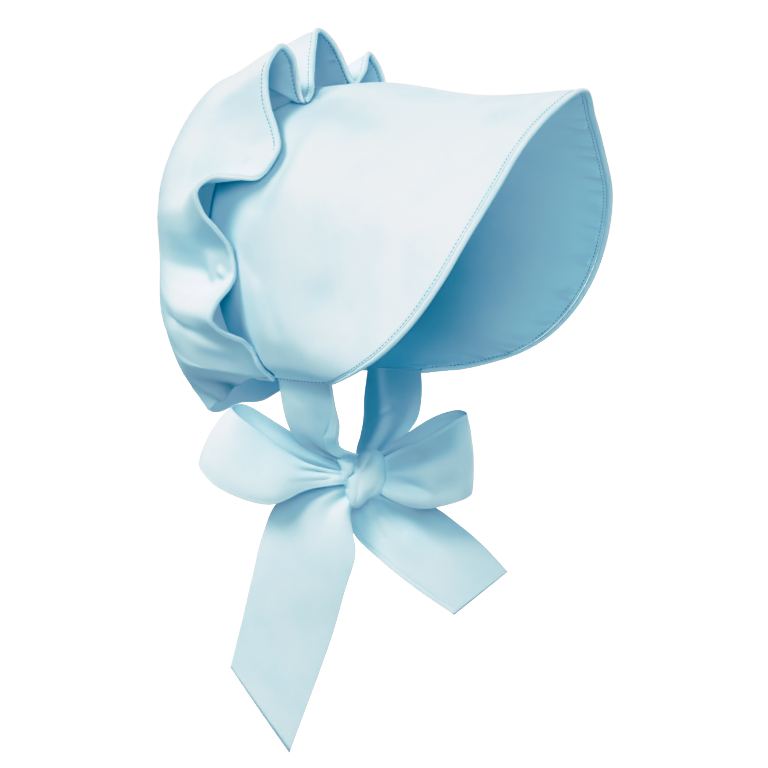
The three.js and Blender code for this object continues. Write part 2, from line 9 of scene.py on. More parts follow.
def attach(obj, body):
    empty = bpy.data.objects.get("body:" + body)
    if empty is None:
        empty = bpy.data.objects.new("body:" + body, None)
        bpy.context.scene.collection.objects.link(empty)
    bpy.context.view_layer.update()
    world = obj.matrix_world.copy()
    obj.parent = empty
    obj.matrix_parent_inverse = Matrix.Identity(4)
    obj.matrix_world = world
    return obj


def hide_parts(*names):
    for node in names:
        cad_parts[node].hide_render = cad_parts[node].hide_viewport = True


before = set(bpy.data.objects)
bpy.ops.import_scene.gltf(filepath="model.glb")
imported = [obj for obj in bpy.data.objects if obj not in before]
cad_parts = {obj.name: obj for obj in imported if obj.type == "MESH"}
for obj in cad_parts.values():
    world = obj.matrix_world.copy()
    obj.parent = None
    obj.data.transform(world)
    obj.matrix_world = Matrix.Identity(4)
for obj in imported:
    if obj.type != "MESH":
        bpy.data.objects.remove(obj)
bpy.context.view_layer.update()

# A tied bonnet in pale blue cloth, built in millimetres and turned to metres as each mesh is made.
# +Z is up, the bonnet faces -Y, and its own right side, as worn, is at -X.
MM = 0.001

# Camera: the three-quarter view from the right front, a little above the brim
VIEW_AZIMUTH = math.radians(-60)
VIEW_ELEVATION = math.radians(4)
VIEW_TARGET = Vector((0, -0.043, -0.2225))
VIEW_DISTANCE = 1.8
VIEW_LENS = 111.02
VIEW_SENSOR = 36

toward = Vector((
    math.sin(VIEW_AZIMUTH) * math.cos(VIEW_ELEVATION),
    -math.cos(VIEW_AZIMUTH) * math.cos(VIEW_ELEVATION),
    math.sin(VIEW_ELEVATION),
))
rightward = Vector((math.cos(VIEW_AZIMUTH), math.sin(VIEW_AZIMUTH), 0))
upward = toward.cross(rightward)
camera_data = bpy.data.cameras.new("view_camera")
camera_data.lens = VIEW_LENS
camera_data.sensor_width = VIEW_SENSOR
camera = bpy.data.objects.new("view_camera", camera_data)
turn = Matrix((rightward, upward, toward)).transposed().to_4x4()
camera.matrix_world = Matrix.Translation(VIEW_TARGET + toward * VIEW_DISTANCE) @ turn
bpy.context.scene.collection.objects.link(camera)
bpy.context.scene.camera = camera

# Cloth walls
BRIM_WALL = 2.4
CROWN_WALL = 1.2
RIBBON_WALL = 1.2
BINDING_WIDTH = 4.6
BINDING_THICKNESS = 3.8
BINDING_GAP = 0.25

# The brim's sections on its right, from the lower corner up to the ridge: x, y and z of the rear edge,
# x, y and z of the front edge, how far the section swells out near the rear, and how far it dips ahead
BRIM_SECTIONS = (
    (-66, 11, -216, -69, -38, -217, 0, 0),
    (-71, 23, -209, -84, -49, -216, 0, 1),
    (-76, 34, -202, -99, -61, -215, 1, 2),
    (-80, 42, -187, -113, -77, -211, 1, 3),
    (-84, 47, -171, -124, -96, -204, 2, 4),
    (-87, 51, -152, -129, -118, -191, 2, 5),
    (-89, 55, -129, -129, -140, -171, 2, 5),
    (-90, 56, -103, -125, -160, -144, 2, 5),
    (-86, 53, -74, -115, -176, -112, 2, 5),
    (-75, 48, -45, -95, -189, -78, 3, 4),
    (-54, 36, -24, -68, -195, -48, 3, 4),
    (-28, 26, -10, -36, -202, -23, 4, 4),
    (0, 18, 2, 0, -211, -5, 4, 5),
)
BRIM_SWELL_AT = 0.28
BRIM_DIP_AT = 0.64

# Free edge of the ruffle, up the right side and over the top: x, y, z
RUFFLE_SIDE = (
    (-69, 9, -216), (-84, 12, -200), (-98, 19, -188), (-114, 28, -180), (-122, 32, -171),
    (-118, 29, -158), (-108, 25, -147), (-98, 24, -133), (-102, 27, -119), (-112, 33, -105),
    (-121, 40, -92), (-126, 42, -76), (-118, 34, -66), (-107, 21, -66), (-95, 6, -66),
    (-82, -3, -47), (-76, 3, -31), (-73, 11, -15), (-71, 15, 1), (-68, 15, 18),
)
RUFFLE_TOP = (
    (-56, 11, 32), (-44, 9, 25), (-37, 9, 8), (-36, 7, -5), (-36, 2, -13), (-26, 3, -3),
    (-16, 9, 12), (-9, 12, 32), (0, 14, 47), (10, 10, 42), (20, 6, 29), (32, 1, 8),
    (40, -3, 17), (50, -2, 32), (60, -4, 24), (68, -6, 8), (73, -5, -14),
)
# How many of the side's points come back mirrored on the left
RUFFLE_MIRRORED = 17

# Nape edge, the crown's fullest line beside the brim and above the nape, and the middle of its back
NAPE_EDGE = (
    (-69, 22, -217), (-63, 40, -218), (-51, 60, -227), (-38, 80, -238), (-21, 103, -246),
    (0, 114, -250),
)
CROWN_FULL_SIDE = (
    (-82, 68, -206), (-92, 67, -192), (-90, 57, -150), (-94, 62, -100), (-93, 60, -60),
    (-80, 55, -30), (-57, 49, 1), (-30, 45, 18), (0, 43, 26),
)
CROWN_FULL_NAPE = ((-78, 73, -209), (-66, 85, -214), (-44, 101, -224), (0, 120, -238))
CROWN_BACK = (0, 142, -100)
CROWN_BACK_STATIONS = (0.85, 0.65, 0.45, 0.22)
# Distance from the free edge up to which the ruffle's folds are full, and where they have died away
FLUTE_FULL = 8
FLUTE_NONE = 120
NAPE_GATHERS = 7
NAPE_GATHER_DEPTH = 1.5
NAPE_GATHER_REACH = 45
HEM_WIDTH = 5.0

# Ribbon sections: both edges, then the height of the cloth between them at a quarter, half and
# three quarters of its width, and the height of the small pleats
TIE_RIGHT = (
    ((-66.2, 10, -214.2), (-69.2, -37, -215.2), 0, 0, 0, 0),
    ((-62, 10, -233), (-65, -38, -234), 1.5, 2, 1.5, 0.3),
    ((-54, 10, -251), (-57, -37, -249), 3.7, 5, 3.7, 0.5),
    ((-42, 8, -266), (-45, -29, -263), 3.7, 5, 3.7, 0.8),
    ((-25, -3, -277), (-27, -22, -271), 1.5, 2, 1.5, 0.8),
    ((-8, -20, -284), (-9, -27, -278), 0, 0, 0, 0.4),
)
TIE_LEFT = (
    ((66.2, 10, -214.2), (69.2, -37, -215.2), 0, 0, 0, 0),
    ((60, 10, -238), (65, -40, -235), -1.5, -2, -1.5, 0.3),
    ((50, 5, -255), (55, -42, -252), -3.7, -5, -3.7, 0.5),
    ((37, 0, -267), (41, -40, -264), -3.7, -5, -3.7, 0.8),
    ((19, -7, -277), (23, -37, -273), -1.5, -2, -1.5, 0.8),
    ((-4, -23, -291), (-1, -32, -284), 0, 0, 0, 0.4),
)

# The bow lies in an upright plane turned to the right. In its own frame x runs along the bow, y away
# from the camera and z up, from the middle of the knot.
BOW_PLACE = (-8, -31, -292.4)
BOW_TURN = math.radians(-60)
KNOT_OUTLINE = (
    (17.5, -2), (15.5, 14), (11, 18.5), (4, 20), (-3, 17.5), (-8, 12.5), (-15, 14.5), (-22, 13.5),
    (-19, 5), (-17.5, -5), (-15, -15), (-11, -25), (-5, -25), (3, -18.5), (13, -13),
)
KNOT_DEPTH = 14
LOOP_RIGHT = (
    ((-8, 4, 3), (-8, 4, -5), 0, 0, 0, 0),
    ((-36, 7, 19), (-34, 5, -4), 1.5, 2, 1.5, 1.5),
    ((-68, 10, 40), (-66, 10, -8), 3, 4, 3, 0.5),
    ((-92, 8, 54), (-104, 11, 2), 3, 4, 3, 0),
    ((-101, -1, 53), (-126, -7, 10), 3, 4, 3, 0),
    ((-97, -10, 48), (-113, -24, -5), 3.7, 5, 3.7, 0),
    ((-78, -15, 34), (-72, -29, -19), 3.7, 5, 4.5, 0),
    ((-45, -14, 11.5), (-43, -17, -9), 2.2, 3, 2.2, 0.5),
    ((-8, -4, 2), (-8, -4, -5), 0, 0, 0, 0),
)
LOOP_LEFT = (
    ((8, 4, 14), (8, 4, 3), 0, 0, 0, 0),
    ((28, 8, 29), (28, 7, 2), -1.5, -2, -1.5, 1.5),
    ((54, 10, 45), (54, 10, -8), -3, -4, -3, 0.5),
    ((71, 5, 50), (74, 7, -13), -2.2, -3, -2.2, 0),
    ((77, -4, 48), (81, -9, -13), -2.2, -3, -2.2, 0),
    ((69, -11, 44), (72, -22, -17), -4.5, -6, -4.5, 1),
    ((44, -13, 29.5), (44, -20, -23), -5.2, -7, -5.2, 3),
    ((24, -8, 20), (24, -12, -19), -2.2, -3, -2.2, 2),
    ((8, -3, 11), (8, -4, -11), 0, 0, 0, 0),
)
TAIL_RIGHT = (
    ((-9, 0, -3), (-6, 0, -16), 0, 0, 0, 0),
    ((-34, -3, -5), (-11, -7, -27), -1.5, -2, -1.5, 2),
    ((-66, -8, -19), (-9, -13, -42), -2.2, -3, -2.2, 1),
    ((-78, -10, -44), (-7, -16, -58), -2.2, -3, -2.2, 0),
    ((-86, -10, -76), (-15, -14, -86), -2.2, -3, -2.2, 0),
    ((-94, -9, -110), (-25, -8, -122), -1.5, -2, -1.5, 0),
    ((-103, -8, -146), (-58, -6, -213), -1.5, -2, -1.5, 0),
)
TAIL_LEFT = (
    ((-5, 3, -16), (6, 3, -12), 0, 0, 0, 0),
    ((-12, 6, -30), (28, 8, -18), -1.5, -2, -1.5, 2),
    ((-9, 6, -45), (51, 9, -24), -2.2, -3, -2.2, 2),
    ((12, 3, -66), (73, 6, -39), -3, -4, -3, 1),
    ((40, 0, -88), (91, 0, -54), -2.2, -3, -2.2, 0),
    ((68, -2, -107), (109, -5, -73), -0.7, -1, -0.7, 0),
)

# How wide the near tie's front edge is folded over, from its top to the knot
TIE_RIGHT_FOLD = (0.4, 1.2, 7, 13, 10, 4)

# Creases and dents: the points of each line, its width and its depth. A bump has a negative depth,
# and a crease narrower than SHARP_BELOW has a sharp fold at its bottom.
SHARP_BELOW = 3.5
SHARP_FOLD = 1.25
BRIM_CREASES = (
    (((-99.5, 19, -129), (-101, 10, -139)), 4, 1.0),
    (((-99, 22, -120), (-103, 0, -145.5)), 6, 1.2),
    (((-103, -2.5, -156), (-103, -11, -178)), 7, 1.7),
    (((-109, -53, -155), (-112, -53, -180)), 14, 2.4),
    (((-109, -51, -198), (-103, -48.5, -207.5)), 2.6, 0.9),
    (((-67, -10, -32), (-82, -7, -51), (-92, -2, -70), (-96.6, 7.6, -86)), 10, 4.0),
)
CROWN_CREASES = (
    (((-84.4, 93.5, -172.1), (-90.2, 71.2, -181.2), (-91.2, 58.7, -186.1), (-91.1, 47.2, -191)), 3.4, 3.0),
    (((-85.8, 80.7, -189.9), (-85.1, 63, -200), (-83.2, 46.3, -204.1)), 11, 2.6),
    (((-82.5, 19.5, -43), (-82, 17.5, -41)), 7, 1.2),
    (((-87.6, 21.3, -54), (-89.6, 23.5, -58.5)), 1.5, 1.3),
    (((-82.5, 35.2, -39), (-82.5, 35.4, -39.3)), 1.7, 1.1),
    (((-94.9, 42.5, -136.6), (-95.2, 40, -138.6)), 6.4, 2.0),
    (((-94.9, 42.5, -136.6), (-95.2, 40, -138.6)), 3.6, -3.8),
    (((-98.4, 32.1, -126.1), (-98.4, 32.3, -126.4)), 1.6, 0.9),
    (((-95.8, 20.2, -192), (-93.6, 18, -196)), 5.5, 2.6),
    (((-95.8, 20.2, -192), (-93.6, 18, -196)), 2.6, -4.6),
    (((-29.8, 7.6, -5), (-29.8, 7.8, -5.2)), 1.6, 0.9),
)
TIE_RIGHT_CREASES = (
    (((-49.4, -18.8, -251.1), (-39, -8, -263.7), (-32.5, -1.4, -270)), 6, 1.6),
    (((-66.2, 4.1, -221.6), (-62, -6.5, -233.5)), 4, 1.6),
)
TIE_LEFT_CREASES = (
    (((62, 9, -226), (53.2, 4.5, -248.8), (43.3, 1, -260.5)), 3, 2.0),
    (((63, 2, -216), (61.5, -1, -232), (54.6, -7, -243.8), (41.9, -14.5, -255.9),
      (26.8, -19, -267)), 6, -3.0),
    (((47.2, -11, -251.8), (51.5, -19, -246.2)), 3.5, 1.6),
)
LOOP_RIGHT_CREASES = (
    (((-50, 0, -286), (-24, -16.2, -290.5)), 2.2, 3.6),
    (((-58, 2, -295), (-31.2, -13.8, -293.7)), 2.6, 3.0),
    (((-30, 8, -272), (-20, -6, -284)), 2.2, 2.0),
    (((-73, 40, -263.2), (-68.7, 23, -279.3)), 8, 0.8),
)
LOOP_LEFT_CREASES = (
    (((-10, -50, -291.5), (-6, -86.4, -302)), 3, 3.6),
    (((-8.2, -52, -286), (-7.7, -75.2, -278.2)), 5, 3.0),
    (((3.3, -89.8, -267.1), (3.3, -90, -268)), 9, 1.8),
)
TAIL_LEFT_CREASES = (
    (((-5.1, -30.1, -311), (2, -41.9, -340.7)), 3, 1.6),
    (((3.5, -39.2, -314), (8.5, -55.7, -334.4)), 4, 1.5),
    (((9.7, -51.5, -325), (17.8, -73.3, -341.9)), 6, 0.9),
)
TAIL_RIGHT_CREASES = (
    (((-17, -17, -300), (-29.7, -2.2, -314.4)), 3, 1.5),
    (((-26.3, -6.3, -310.6), (-27, -15.6, -340.6)), 5, 1.0),
    (((-39.5, 16.8, -322), (-42.2, 6.2, -355.6)), 7, 0.9),
)
KNOT_CREASES = (
    (((-7, 9), (-9, 3), (-13, -1), (-14, -9)), 1.6, 4.2),
    (((6, 19), (-3, 4), (-7, -20)), 2.4, 1.4),
    (((15, 12), (11, -4), (2, -17)), 2.6, 1.5),
)


SPAN_MARKS = 30
TANGENT_STEP = 1e-3
TINY = 1e-9


class Line:
    """A smooth line through points, read by shares of its length."""

    def __init__(self, points, closed=False):
        p = np.asarray(points, float)
        self.spans = len(p) if closed else len(p) - 1
        if closed:
            q = np.concatenate([p[-1:], p, p[:2]])
        else:
            q = np.concatenate([2 * p[:1] - p[1:2], p, 2 * p[-1:] - p[-2:-1]])
        x0, x1, x2, x3 = q[:-3], q[1:-2], q[2:-1], q[3:]
        # Gaps count by the root of their length, which keeps the line from looping between close points
        gap = [np.maximum(((b - a) ** 2).sum(1, keepdims=True), TINY) ** 0.25
               for a, b in ((x0, x1), (x1, x2), (x2, x3))]
        leave = ((x1 - x0) / gap[0] - (x2 - x0) / (gap[0] + gap[1]) + (x2 - x1) / gap[1]) * gap[1]
        arrive = ((x2 - x1) / gap[1] - (x3 - x1) / (gap[1] + gap[2]) + (x3 - x2) / gap[2]) * gap[1]
        self.parts = (x1, leave, 3 * (x2 - x1) - 2 * leave - arrive, 2 * (x1 - x2) + leave + arrive)
        self.marks = np.linspace(0, self.spans, self.spans * SPAN_MARKS + 1)
        steps = np.linalg.norm(np.diff(self.point(self.marks), axis=0), axis=1)
        self.run = np.concatenate([[0], np.cumsum(steps)])
        self.length = self.run[-1]

    def point(self, mark):
        mark = np.clip(np.asarray(mark, float), 0, self.spans)
        k = np.minimum(mark.astype(int), self.spans - 1)
        w = (mark - k)[..., None]
        a, b, c, d = (part[k] for part in self.parts)
        return a + w * (b + w * (c + w * d))

    def at(self, share):
        return self.point(np.interp(np.asarray(share) * self.length, self.run, self.marks))

    def tangent(self, share):
        ahead = self.at(np.clip(np.asarray(share) + TANGENT_STEP, 0, 1))
        behind = self.at(np.clip(np.asarray(share) - TANGENT_STEP, 0, 1))
        return unit(ahead - behind)


def unit(v):
    return v / np.maximum(np.linalg.norm(v, axis=-1, keepdims=True), TINY)


def smoothstep(x, low, high):
    t = np.clip((np.asarray(x, float) - low) / (high - low), 0, 1)
    return t * t * (3 - 2 * t)


def ripple(x, *waves):
    """A sum of waves, each given as its length, height and start."""
    return sum(height * np.sin(2 * np.pi * (x / length + start)) for length, height, start in waves)


def sheet_normals(middle, around=False):
    """Normals of a sheet given as rows of points, which may close into a ring or meet in one last point."""
    if around:
        rows = np.concatenate([middle[-2:-1], middle, middle[1:2]])
        along = rows[2:] - rows[:-2]
    else:
        along = np.gradient(middle, axis=0)
    across = np.gradient(middle, axis=1)
    crossed = np.cross(along, across)
    normals = unit(crossed)
    if (np.linalg.norm(crossed[:, -1], axis=-1) < 1e-7).all():
        normals[:, -1] = unit(normals[:, -2].mean(axis=0))
    return normals


def creased(middle, away, creases):
    """Presses creases into a sheet, in the direction given as away."""
    pressed = np.zeros(middle.shape[:2])
    for line, width, depth in creases:
        fall = SHARP_FOLD if width < SHARP_BELOW else 2
        points = np.asarray(line, float)
        nearest = np.full(pressed.shape, np.inf)
        for start, end in zip(points[:-1], points[1:]):
            step = end - start
            share = np.clip((middle - start) @ step / (step @ step), 0, 1)
            off = np.linalg.norm(middle - start - share[..., None] * step, axis=-1)
            nearest = np.minimum(nearest, off)
        pressed += depth * np.exp(-(nearest / width) ** fall)
    return middle + away * pressed[..., None]


def rounded(distance, radius):
    """How full a wall is at a distance from its edge, when that edge is rounded off."""
    near = np.clip(distance / radius, 0, 1)
    return np.sqrt(np.maximum(1 - (1 - near) ** 2, 0))


MERGE_WITHIN = 2e-6


def grid_face(bm, points, uv_size, material, flip):
    """Adds one face of a cloth wall: a grid whose vertices are moved to the given points."""
    rows, columns = points.shape[:2]
    made = bmesh.ops.create_grid(bm, x_segments=rows - 1, y_segments=columns - 1, size=1)["verts"]
    uv_layer = bm.loops.layers.uv.verify()
    place = {}
    for v in made:
        i = round((v.co.x + 1) / 2 * (rows - 1))
        j = round((v.co.y + 1) / 2 * (columns - 1))
        place[v] = (i, j)
    faces = {f for v in made for f in v.link_faces}
    for f in faces:
        f.material_index = material
        f.smooth = True
        for loop in f.loops:
            i, j = place[loop.vert]
            loop[uv_layer].uv = uv_size[i, j]
    for v, (i, j) in place.items():
        v.co = points[i, j] * MM
    if flip:
        bmesh.ops.reverse_faces(bm, faces=list(faces))


def metric_uv(middle):
    """UV coordinates in metres along and across a sheet."""
    along = np.linalg.norm(np.diff(middle, axis=0), axis=2).mean(axis=1)
    across = np.linalg.norm(np.diff(middle, axis=1), axis=2)
    v = np.concatenate([[0], np.cumsum(along)])
    u = np.concatenate([np.zeros((len(middle), 1)), np.cumsum(across, axis=1)], axis=1)
    return np.stack([u, np.broadcast_to(v[:, None], u.shape)], axis=2) * MM


def cloth_wall(name, outer, inner, middle, materials):
    """A closed wall from its outer and inner faces, which meet along its edges."""
    bm = bmesh.new()
    uv = metric_uv(middle)
    grid_face(bm, outer, uv, 0, False)
    grid_face(bm, inner, uv, min(1, len(materials) - 1), True)
    bmesh.ops.remove_doubles(bm, verts=bm.verts, dist=MERGE_WITHIN)
    bmesh.ops.dissolve_degenerate(bm, edges=bm.edges, dist=MERGE_WITHIN / 2)
    face_outwards(bm)
    return finish_mesh(name, bm, materials)


def tube_wall(name, rings, materials):
    """A closed body through rings of points whose last point meets the first."""
    bm = bmesh.new()
    grid_face(bm, rings, metric_uv(rings), 0, False)
    bmesh.ops.remove_doubles(bm, verts=bm.verts, dist=MERGE_WITHIN)
    bmesh.ops.holes_fill(bm, edges=bm.edges, sides=0)
    face_outwards(bm)
    return finish_mesh(name, bm, materials)


def finish_mesh(name, bm, materials):
    mesh = bpy.data.meshes.new(name)
    bm.to_mesh(mesh)
    bm.free()
    obj = bpy.data.objects.new(name, mesh)
    for material in materials:
        mesh.materials.append(material)
    bpy.context.scene.collection.objects.link(obj)
    return obj


def face_outwards(bm):
    bmesh.ops.recalc_face_normals(bm, faces=bm.faces)
    if bm.calc_volume(signed=True) < 0:
        bmesh.ops.reverse_faces(bm, faces=bm.faces)


# Materials
CLOTH_ROUGHNESS = 0.62
CLOTH_GLOSS = 0.2
NAP_STRENGTH = 0.15
NAP_ROUGHNESS = 0.45
NAP_TINT = (0.5, 0.8, 1, 1)
DYE_SCALE = 28
DYE_DETAIL = 4
DYE_SPREAD = (0.3, 0.55)
THREAD_SCALE = 380
THREAD_WANDER = 0.6
SLUB_SCALE = 210
WEAVE_STRENGTH = 0.12
WEAVE_HEIGHT = 0.0004
# Sockets of a mix of colours: its share, its two colours and its result
MIX_SHARE, MIX_FROM, MIX_TO, MIX_RESULT = 0, 6, 7, 2


def cloth_material(name, color, deeper, weave=1.0):
    """Smooth woven cloth: fine crossed threads, a soft nap and a slight unevenness of its dye."""
    material = bpy.data.materials.new(name)
    material.use_nodes = True
    tree = material.node_tree
    shader = tree.nodes["Principled BSDF"]
    shader.inputs["Roughness"].default_value = CLOTH_ROUGHNESS
    shader.inputs["Sheen Weight"].default_value = NAP_STRENGTH
    shader.inputs["Sheen Roughness"].default_value = NAP_ROUGHNESS
    shader.inputs["Sheen Tint"].default_value = NAP_TINT
    shader.inputs["Specular IOR Level"].default_value = CLOTH_GLOSS
    coordinates = tree.nodes.new("ShaderNodeTexCoord")

    dye = tree.nodes.new("ShaderNodeTexNoise")
    dye.inputs["Scale"].default_value = DYE_SCALE
    dye.inputs["Detail"].default_value = DYE_DETAIL
    tree.links.new(coordinates.outputs["Object"], dye.inputs["Vector"])
    dyed = tree.nodes.new("ShaderNodeMix")
    dyed.data_type = "RGBA"
    dyed.inputs[MIX_FROM].default_value = (*deeper, 1)
    dyed.inputs[MIX_TO].default_value = (*color, 1)
    spread = tree.nodes.new("ShaderNodeMapRange")
    spread.inputs["From Min"].default_value = DYE_SPREAD[0]
    spread.inputs["From Max"].default_value = DYE_SPREAD[1]
    tree.links.new(dye.outputs["Fac"], spread.inputs["Value"])
    tree.links.new(spread.outputs["Result"], dyed.inputs[MIX_SHARE])
    tree.links.new(dyed.outputs[MIX_RESULT], shader.inputs["Base Color"])

    threads = []
    for direction in ("X", "Y"):
        wave = tree.nodes.new("ShaderNodeTexWave")
        wave.bands_direction = direction
        wave.inputs["Scale"].default_value = THREAD_SCALE * weave
        wave.inputs["Distortion"].default_value = THREAD_WANDER
        wave.inputs["Detail"].default_value = 1
        tree.links.new(coordinates.outputs["UV"], wave.inputs["Vector"])
        threads.append(wave)
    crossed = tree.nodes.new("ShaderNodeMath")
    crossed.operation = "MAXIMUM"
    for k, wave in enumerate(threads):
        tree.links.new(wave.outputs["Fac"], crossed.inputs[k])
    slub = tree.nodes.new("ShaderNodeTexNoise")
    slub.inputs["Scale"].default_value = SLUB_SCALE
    slub.inputs["Detail"].default_value = 2
    tree.links.new(coordinates.outputs["UV"], slub.inputs["Vector"])
    height = tree.nodes.new("ShaderNodeMath")
    height.operation = "ADD"
    tree.links.new(crossed.outputs["Value"], height.inputs[0])
    tree.links.new(slub.outputs["Fac"], height.inputs[1])
    bump = tree.nodes.new("ShaderNodeBump")
    bump.inputs["Strength"].default_value = WEAVE_STRENGTH
    bump.inputs["Distance"].default_value = WEAVE_HEIGHT
    tree.links.new(height.outputs["Value"], bump.inputs["Height"])
    tree.links.new(bump.outputs["Normal"], shader.inputs["Normal"])
    return material


def linear(r, g, b):
    """A colour given as 0 to 255 in sRGB."""
    values = [c / 255 for c in (r, g, b)]
    return tuple(c / 12.92 if c <= 0.04045 else ((c + 0.055) / 1.055) ** 2.4 for c in values)


panel_cloth = cloth_material("panel_cloth", linear(190, 222, 236), linear(184, 218, 234))
# The lining is set a slightly deeper blue than the outside, as painted shade for the inside of the brim
lining_painted_shade_cloth = cloth_material("lining_painted_shade_cloth", linear(178, 216, 232), linear(171, 212, 230))
crown_cloth = cloth_material("crown_cloth", linear(188, 221, 235), linear(181, 217, 233))
# The crown's inside is set paler than its outside: painted light, for the glow of light shining through the
# thin cloth into the ruffle's folds
crown_inside_painted_glow_cloth = cloth_material("crown_inside_painted_glow_cloth", linear(206, 232, 243), linear(199, 228, 241))
ribbon_cloth = cloth_material("ribbon_cloth", linear(189, 222, 236), linear(183, 218, 234))
sewing_thread = cloth_material("thread_cloth", linear(62, 112, 142), linear(54, 104, 136), weave=3)


# Brim


def brim_sections(around):
    """Middle lines of the brim's sections, from its right lower corner to the left one."""
    right = np.array(BRIM_SECTIONS, float)
    left = right[-2::-1] * np.array([-1, 1, 1, -1, 1, 1, 1, 1])
    rows = np.concatenate([right, left])
    rear, front = Line(rows[:, 0:3]), Line(rows[:, 3:6])
    shape = Line(np.column_stack([np.arange(len(rows)), rows[:, 6], rows[:, 7]]))
    share = np.linspace(0, 1, around + 1)
    start, end = rear.at(share), front.at(share)
    swell, dip = shape.at(share)[:, 1:2], shape.at(share)[:, 2:3]
    outwards = unit(np.cross(rear.tangent(share) + front.tangent(share), start - end))
    behind = start + (end - start) * BRIM_SWELL_AT + outwards * swell
    ahead = start + (end - start) * BRIM_DIP_AT - outwards * dip
    return [Line(points) for points in zip(start, behind, ahead, end)]


def stations_from(length, ends, inner_count):
    """Distances along a section: even ones inside, and those in ends close to its far end."""
    inner = np.linspace(0, length - ends[0], inner_count, endpoint=False)
    return np.concatenate([inner, length - np.array(ends)])


BRIM_AROUND = 320
BRIM_INNER = 46
BRIM_FRONT_STATIONS = (26, 20, 15, 11, 8, 6, 4.6, 3.6, 2.9, 2.4, 1.9, 1.3, 0.7, 0.3, 0)
brim_lines = brim_sections(BRIM_AROUND)
brim_run = np.array([
    stations_from(line.length - BINDING_WIDTH - BINDING_GAP, BRIM_FRONT_STATIONS, BRIM_INNER)
    for line in brim_lines
])
brim_middle = np.array([line.at(run / line.length) for line, run in zip(brim_lines, brim_run)])
brim_normals = -sheet_normals(brim_middle)
brim_edge = np.array([line.at(1) for line in brim_lines])
edge_run = np.concatenate([[0], np.cumsum(np.linalg.norm(np.diff(brim_edge, axis=0), axis=1))])
brim_to_front = brim_run[:, -1:] - brim_run
side_run = np.minimum(edge_run, edge_run[-1] - edge_run)[:, None]

# The brim's wall is full between its rounded edges. A stitch line sinks into it, its lining puckers
# behind the front edge, and the whole panel is a little slack.
FRONT_ROUND = 1.1
REAR_ROUND = 1.2
STITCH_AT = 2.4
GROOVE_DEPTH = 0.35
BRIM_GROOVE_WIDTH = 0.9
PUCKER_WAVES = ((17, 0.6, 0.1), (11.3, 0.5, 0.4), (29, 0.6, 0.7))
PUCKER_FLOOR = -0.35
PUCKER_AT = 7
PUCKER_REACH = 9
PUCKER_DEPTH = 2.2
PUCKER_START = (1, 4)
SLACK_WAVES = ((95, 0.35, 0.2), (61, 0.25, 0.6))
fullness = (rounded(brim_to_front, FRONT_ROUND) * rounded(brim_run, REAR_ROUND)
            * rounded(side_run, REAR_ROUND))
groove = fullness * np.exp(-((brim_to_front - STITCH_AT) / BRIM_GROOVE_WIDTH) ** 2)
pucker = np.maximum(ripple(edge_run, *PUCKER_WAVES)[:, None], PUCKER_FLOOR)
pucker = fullness * pucker * np.exp(-((brim_to_front - PUCKER_AT) / PUCKER_REACH) ** 2)
pucker = PUCKER_DEPTH * pucker * smoothstep(brim_to_front, *PUCKER_START)
slack = ripple(edge_run, *SLACK_WAVES)[:, None] * np.sin(np.pi * np.clip(brim_run / brim_run[:, -1:], 0, 1))
brim_half = fullness * (BRIM_WALL / 2) - GROOVE_DEPTH * groove
brim_laid = creased(brim_middle, -brim_normals, BRIM_CREASES)
brim_outer = brim_laid + brim_normals * (brim_half + slack)[..., None]
brim_inner = brim_laid - brim_normals * (brim_half + pucker - slack)[..., None]
brim = cloth_wall("brim_panel", brim_outer, brim_inner, brim_middle, [panel_cloth, lining_painted_shade_cloth])

# Binding. Its profile: the share of its width from the back to the front edge, and of its thickness
BINDING_WAVES = ((13, 0.035, 0), (31, 0.03, 0.3), (7.1, 0.02, 0.6))
BINDING_END_ROUND = 1.5
BINDING_PROFILE = (
    (0, 0), (0.02, -0.3), (0.14, -0.43), (0.34, -0.5), (0.6, -0.48), (0.82, -0.37), (0.95, -0.2),
    (1, 0), (0.95, 0.2), (0.82, 0.37), (0.6, 0.48), (0.34, 0.5), (0.14, 0.43), (0.02, 0.3), (0, 0),
)
binding_back = np.array([line.at(1 - BINDING_WIDTH / line.length) for line in brim_lines])
binding_rows = np.stack([binding_back, (binding_back + brim_edge) / 2, brim_edge], axis=1)
binding_normal = sheet_normals(binding_rows)[:, 1]
swelling = 1 + ripple(edge_run, *BINDING_WAVES)
capped = rounded(np.minimum(edge_run, edge_run[-1] - edge_run), BINDING_END_ROUND)
binding_points = np.stack([
    binding_back + (brim_edge - binding_back) * along
    + binding_normal * (side * BINDING_THICKNESS * swelling * capped)[:, None]
    for along, side in BINDING_PROFILE
], axis=1)
binding = tube_wall("brim_edge_binding", binding_points, [crown_cloth])


# Crown and ruffle


def mirrored(points):
    return [(-x, y, z) for x, y, z in points]


def even_points(points, count):
    return Line(points).at((np.arange(count) + 0.5) / count)


def mean_line(points, reach, closed=False):
    """Each point's weighted mean with its neighbours to both sides."""
    offsets = np.arange(-reach, reach + 1)
    weights = 1 + np.cos(np.pi * offsets / (reach + 1))
    places = np.arange(len(points))[:, None] + offsets[None, :]
    places = places % len(points) if closed else np.clip(places, 0, len(points) - 1)
    return np.einsum("k,ikx->ix", weights / weights.sum(), points[places])


# Columns of the crown's grid along the ruffle and along the nape, and its stations from the free edge
RUFFLE_COUNT = 352
NAPE_COUNT = 96
CROWN_COUNT = RUFFLE_COUNT + NAPE_COUNT
HEM_STATIONS = (
    0, 0.2, 0.7, 1.4, 2.2, 3.1, 3.9, 4.6, 5.1, 5.5, 6, 6.6, 7.4, 8.6, 10, 11.5, 13, 14.5, 16.2, 18,
    20, 22.2, 24.5, 27, 29.5, 32.5, 36, 40,
)
CROWN_INNER = 38
CROWN_TOP_STATION = 40
